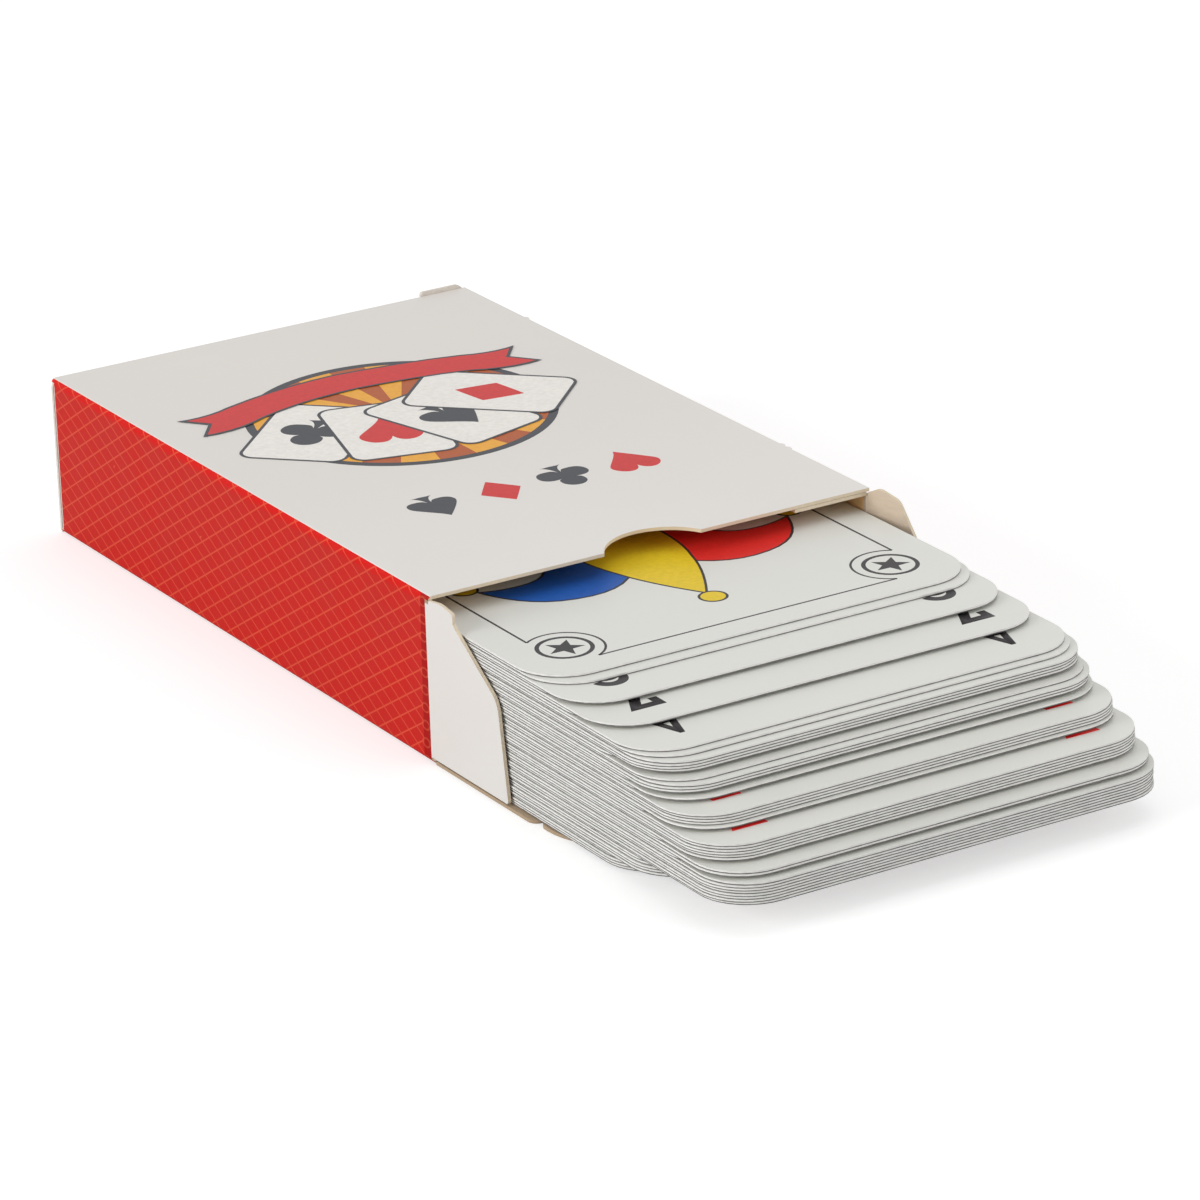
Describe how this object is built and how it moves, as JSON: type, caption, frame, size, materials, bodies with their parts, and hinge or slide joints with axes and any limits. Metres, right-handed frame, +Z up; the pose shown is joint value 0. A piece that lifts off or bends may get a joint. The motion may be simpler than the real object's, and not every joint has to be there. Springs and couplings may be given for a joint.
{
  "type": "card game",
  "caption": "Deck of playing cards sliding in steps out of an open paperboard tuck box, with hinged lids, tuck and dust flaps; each card slides by itself.",
  "frame": {"origin": "centre of the carton's underside, on the surface that it lies on", "axes": "+X across the carton to the right seen from its mouth, +Y along its length away from the open mouth, +Z up"},
  "size_m": [0.0616, 0.1491, 0.0202],
  "materials": {
    "printed_board": "coated paperboard, white front and red sides, semi-gloss",
    "lid_board": "paperboard, white coated outside and bare cream inside",
    "card_stock": "coated card stock with a linen-smooth satin face"
  },
  "bodies": {
    "carton": {"carton_sleeve": "printed_board"},
    "closing_lid": {"closing_lid": "lid_board"},
    "closing_tuck": {"closing_tuck_flap": "lid_board"},
    "bottom_lid": {"bottom_lid": "lid_board"},
    "bottom_tuck": {"bottom_tuck_flap": "lid_board"},
    "left_flap": {"dust_flap_left": "lid_board"},
    "right_flap": {"dust_flap_right": "lid_board"},
    "card_01": {"card_01_joker": "card_stock"},
    "card_02": {"card_02_four_of_hearts": "card_stock"},
    "card_03": {"card_03_six_of_spades": "card_stock"},
    "card_04": {"card_04_two_of_hearts": "card_stock"},
    "card_05": {"card_05_seven_of_spades": "card_stock"},
    "card_06": {"card_06_six_of_hearts": "card_stock"},
    "card_07": {"card_07_ace_of_clubs": "card_stock"},
    "card_08": {"card_08_ace_of_spades": "card_stock"},
    "card_09": {"card_09_ace_of_hearts": "card_stock"},
    "card_10": {"card_10_two_of_clubs": "card_stock"},
    "card_11": {"card_11_ace_of_diamonds": "card_stock"},
    "card_12": {"card_12_two_of_spades": "card_stock"},
    "card_13": {"card_13_two_of_diamonds": "card_stock"},
    "card_14": {"card_14_three_of_clubs": "card_stock"},
    "card_15": {"card_15_three_of_hearts": "card_stock"},
    "card_16": {"card_16_three_of_spades": "card_stock"},
    "card_17": {"card_17_three_of_diamonds": "card_stock"},
    "card_18": {"card_18_four_of_clubs": "card_stock"},
    "card_19": {"card_19_four_of_diamonds": "card_stock"},
    "card_20": {"card_20_four_of_spades": "card_stock"},
    "card_21": {"card_21_five_of_hearts": "card_stock"},
    "card_22": {"card_22_five_of_clubs": "card_stock"},
    "card_23": {"card_23_five_of_diamonds": "card_stock"},
    "card_24": {"card_24_five_of_spades": "card_stock"},
    "card_25": {"card_25_six_of_diamonds": "card_stock"},
    "card_26": {"card_26_six_of_clubs": "card_stock"},
    "card_27": {"card_27_seven_of_hearts": "card_stock"},
    "card_28": {"card_28_seven_of_clubs": "card_stock"},
    "card_29": {"card_29_seven_of_diamonds": "card_stock"},
    "card_30": {"card_30_eight_of_clubs": "card_stock"},
    "card_31": {"card_31_eight_of_hearts": "card_stock"},
    "card_32": {"card_32_eight_of_spades": "card_stock"},
    "card_33": {"card_33_eight_of_diamonds": "card_stock"},
    "card_34": {"card_34_nine_of_clubs": "card_stock"},
    "card_35": {"card_35_nine_of_hearts": "card_stock"},
    "card_36": {"card_36_nine_of_spades": "card_stock"},
    "card_37": {"card_37_nine_of_diamonds": "card_stock"},
    "card_38": {"card_38_ten_of_clubs": "card_stock"},
    "card_39": {"card_39_ten_of_hearts": "card_stock"},
    "card_40": {"card_40_ten_of_spades": "card_stock"},
    "card_41": {"card_41_ten_of_diamonds": "card_stock"},
    "card_42": {"card_42_jack_of_clubs": "card_stock"},
    "card_43": {"card_43_jack_of_hearts": "card_stock"},
    "card_44": {"card_44_jack_of_spades": "card_stock"},
    "card_45": {"card_45_jack_of_diamonds": "card_stock"},
    "card_46": {"card_46_queen_of_clubs": "card_stock"},
    "card_47": {"card_47_queen_of_hearts": "card_stock"},
    "card_48": {"card_48_queen_of_spades": "card_stock"},
    "card_49": {"card_49_queen_of_diamonds": "card_stock"},
    "card_50": {"card_50_king_of_clubs": "card_stock"},
    "card_51": {"card_51_king_of_hearts": "card_stock"},
    "card_52": {"card_52_king_of_spades": "card_stock"},
    "card_53": {"card_53_king_of_diamonds": "card_stock"}
  },
  "joints": [
    {"name": "bottom_lid_fold", "type": "hinge", "parent": "carton", "child": "bottom_lid", "pos_m": [0, 0.04545, 0], "axis": [-1, 0, 0], "range_deg": [0, 110]},
    {"name": "bottom_tuck_fold", "type": "hinge", "parent": "bottom_lid", "child": "bottom_tuck", "pos_m": [0, 0.045, 0.0181], "axis": [-1, 0, 0], "range_deg": [-90, 0]},
    {"name": "closing_lid_fold", "type": "hinge", "parent": "carton", "child": "closing_lid", "pos_m": [0, -0.04545, 0], "axis": [1, 0, 0], "range_deg": [0, 150]},
    {"name": "closing_tuck_fold", "type": "hinge", "parent": "closing_lid", "child": "closing_tuck", "pos_m": [0, -0.06395, 0], "axis": [1, 0, 0], "range_deg": [0, 60]},
    {"name": "dust_flap_left_fold", "type": "hinge", "parent": "carton", "child": "left_flap", "pos_m": [-0.02875, -0.0449, 0], "axis": [0, 0, -1], "range_deg": [0, 165]},
    {"name": "dust_flap_right_fold", "type": "hinge", "parent": "carton", "child": "right_flap", "pos_m": [0.02875, -0.0449, 0], "axis": [0, 0, 1], "range_deg": [-14, 150]},
    {"name": "slide_card_01", "type": "slide", "parent": "carton", "child": "card_01", "axis": [0, -1, 0], "range_m": [-0.02495, 0.08055]},
    {"name": "slide_card_02", "type": "slide", "parent": "carton", "child": "card_02", "axis": [0, -1, 0], "range_m": [-0.02655, 0.07895]},
    {"name": "slide_card_03", "type": "slide", "parent": "carton", "child": "card_03", "axis": [0, -1, 0], "range_m": [-0.03205, 0.07345]},
    {"name": "slide_card_04", "type": "slide", "parent": "carton", "child": "card_04", "axis": [0, -1, 0], "range_m": [-0.02975, 0.07575]},
    {"name": "slide_card_05", "type": "slide", "parent": "carton", "child": "card_05", "axis": [0, -1, 0], "range_m": [-0.03795, 0.06755]},
    {"name": "slide_card_06", "type": "slide", "parent": "carton", "child": "card_06", "axis": [0, -1, 0], "range_m": [-0.03475, 0.07075]},
    {"name": "slide_card_07", "type": "slide", "parent": "carton", "child": "card_07", "axis": [0, -1, 0], "range_m": [-0.04455, 0.06095]},
    {"name": "slide_card_08", "type": "slide", "parent": "carton", "child": "card_08", "axis": [0, -1, 0], "range_m": [-0.04555, 0.05995]},
    {"name": "slide_card_09", "type": "slide", "parent": "carton", "child": "card_09", "axis": [0, -1, 0], "range_m": [-0.04675, 0.05875]},
    {"name": "slide_card_10", "type": "slide", "parent": "carton", "child": "card_10", "axis": [0, -1, 0], "range_m": [-0.04675, 0.05875]},
    {"name": "slide_card_11", "type": "slide", "parent": "carton", "child": "card_11", "axis": [0, -1, 0], "range_m": [-0.04675, 0.05875]},
    {"name": "slide_card_12", "type": "slide", "parent": "carton", "child": "card_12", "axis": [0, -1, 0], "range_m": [-0.04675, 0.05875]},
    {"name": "slide_card_13", "type": "slide", "parent": "carton", "child": "card_13", "axis": [0, -1, 0], "range_m": [-0.04175, 0.06375]},
    {"name": "slide_card_14", "type": "slide", "parent": "carton", "child": "card_14", "axis": [0, -1, 0], "range_m": [-0.04795, 0.05755]},
    {"name": "slide_card_15", "type": "slide", "parent": "carton", "child": "card_15", "axis": [0, -1, 0], "range_m": [-0.04885, 0.05665]},
    {"name": "slide_card_16", "type": "slide", "parent": "carton", "child": "card_16", "axis": [0, -1, 0], "range_m": [-0.04885, 0.05665]},
    {"name": "slide_card_17", "type": "slide", "parent": "carton", "child": "card_17", "axis": [0, -1, 0], "range_m": [-0.04885, 0.05665]},
    {"name": "slide_card_18", "type": "slide", "parent": "carton", "child": "card_18", "axis": [0, -1, 0], "range_m": [-0.04575, 0.05975]},
    {"name": "slide_card_19", "type": "slide", "parent": "carton", "child": "card_19", "axis": [0, -1, 0], "range_m": [-0.04955, 0.05595]},
    {"name": "slide_card_20", "type": "slide", "parent": "carton", "child": "card_20", "axis": [0, -1, 0], "range_m": [-0.04675, 0.05875]},
    {"name": "slide_card_21", "type": "slide", "parent": "carton", "child": "card_21", "axis": [0, -1, 0], "range_m": [-0.05305, 0.05245]},
    {"name": "slide_card_22", "type": "slide", "parent": "carton", "child": "card_22", "axis": [0, -1, 0], "range_m": [-0.05305, 0.05245]},
    {"name": "slide_card_23", "type": "slide", "parent": "carton", "child": "card_23", "axis": [0, -1, 0], "range_m": [-0.05305, 0.05245]},
    {"name": "slide_card_24", "type": "slide", "parent": "carton", "child": "card_24", "axis": [0, -1, 0], "range_m": [-0.05305, 0.05245]},
    {"name": "slide_card_25", "type": "slide", "parent": "carton", "child": "card_25", "axis": [0, -1, 0], "range_m": [-0.05345, 0.05205]},
    {"name": "slide_card_26", "type": "slide", "parent": "carton", "child": "card_26", "axis": [0, -1, 0], "range_m": [-0.04875, 0.05675]},
    {"name": "slide_card_27", "type": "slide", "parent": "carton", "child": "card_27", "axis": [0, -1, 0], "range_m": [-0.05715, 0.04835]},
    {"name": "slide_card_28", "type": "slide", "parent": "carton", "child": "card_28", "axis": [0, -1, 0], "range_m": [-0.05715, 0.04835]},
    {"name": "slide_card_29", "type": "slide", "parent": "carton", "child": "card_29", "axis": [0, -1, 0], "range_m": [-0.05715, 0.04835]},
    {"name": "slide_card_30", "type": "slide", "parent": "carton", "child": "card_30", "axis": [0, -1, 0], "range_m": [-0.05715, 0.04835]},
    {"name": "slide_card_31", "type": "slide", "parent": "carton", "child": "card_31", "axis": [0, -1, 0], "range_m": [-0.05715, 0.04835]},
    {"name": "slide_card_32", "type": "slide", "parent": "carton", "child": "card_32", "axis": [0, -1, 0], "range_m": [-0.05715, 0.04835]},
    {"name": "slide_card_33", "type": "slide", "parent": "carton", "child": "card_33", "axis": [0, -1, 0], "range_m": [-0.05175, 0.05375]},
    {"name": "slide_card_34", "type": "slide", "parent": "carton", "child": "card_34", "axis": [0, -1, 0], "range_m": [-0.05955, 0.04595]},
    {"name": "slide_card_35", "type": "slide", "parent": "carton", "child": "card_35", "axis": [0, -1, 0], "range_m": [-0.05955, 0.04595]},
    {"name": "slide_card_36", "type": "slide", "parent": "carton", "child": "card_36", "axis": [0, -1, 0], "range_m": [-0.05475, 0.05075]},
    {"name": "slide_card_37", "type": "slide", "parent": "carton", "child": "card_37", "axis": [0, -1, 0], "range_m": [-0.06045, 0.04505]},
    {"name": "slide_card_38", "type": "slide", "parent": "carton", "child": "card_38", "axis": [0, -1, 0], "range_m": [-0.06045, 0.04505]},
    {"name": "slide_card_39", "type": "slide", "parent": "carton", "child": "card_39", "axis": [0, -1, 0], "range_m": [-0.06045, 0.04505]},
    {"name": "slide_card_40", "type": "slide", "parent": "carton", "child": "card_40", "axis": [0, -1, 0], "range_m": [-0.06045, 0.04505]},
    {"name": "slide_card_41", "type": "slide", "parent": "carton", "child": "card_41", "axis": [0, -1, 0], "range_m": [-0.06045, 0.04505]},
    {"name": "slide_card_42", "type": "slide", "parent": "carton", "child": "card_42", "axis": [0, -1, 0], "range_m": [-0.06045, 0.04505]},
    {"name": "slide_card_43", "type": "slide", "parent": "carton", "child": "card_43", "axis": [0, -1, 0], "range_m": [-0.06045, 0.04505]},
    {"name": "slide_card_44", "type": "slide", "parent": "carton", "child": "card_44", "axis": [0, -1, 0], "range_m": [-0.06045, 0.04505]},
    {"name": "slide_card_45", "type": "slide", "parent": "carton", "child": "card_45", "axis": [0, -1, 0], "range_m": [-0.04725, 0.05825]},
    {"name": "slide_card_46", "type": "slide", "parent": "carton", "child": "card_46", "axis": [0, -1, 0], "range_m": [-0.04725, 0.05825]},
    {"name": "slide_card_47", "type": "slide", "parent": "carton", "child": "card_47", "axis": [0, -1, 0], "range_m": [-0.04725, 0.05825]},
    {"name": "slide_card_48", "type": "slide", "parent": "carton", "child": "card_48", "axis": [0, -1, 0], "range_m": [-0.04725, 0.05825]},
    {"name": "slide_card_49", "type": "slide", "parent": "carton", "child": "card_49", "axis": [0, -1, 0], "range_m": [-0.04725, 0.05825]},
    {"name": "slide_card_50", "type": "slide", "parent": "carton", "child": "card_50", "axis": [0, -1, 0], "range_m": [-0.04225, 0.06325]},
    {"name": "slide_card_51", "type": "slide", "parent": "carton", "child": "card_51", "axis": [0, -1, 0], "range_m": [-0.04225, 0.06325]},
    {"name": "slide_card_52", "type": "slide", "parent": "carton", "child": "card_52", "axis": [0, -1, 0], "range_m": [-0.04225, 0.06325]},
    {"name": "slide_card_53", "type": "slide", "parent": "carton", "child": "card_53", "axis": [0, -1, 0], "range_m": [-0.04225, 0.06325]}
  ],
  "couplings": [
    {"joint": "bottom_tuck_fold", "follows": "bottom_lid_fold", "ratio": -0.8}
  ]
}
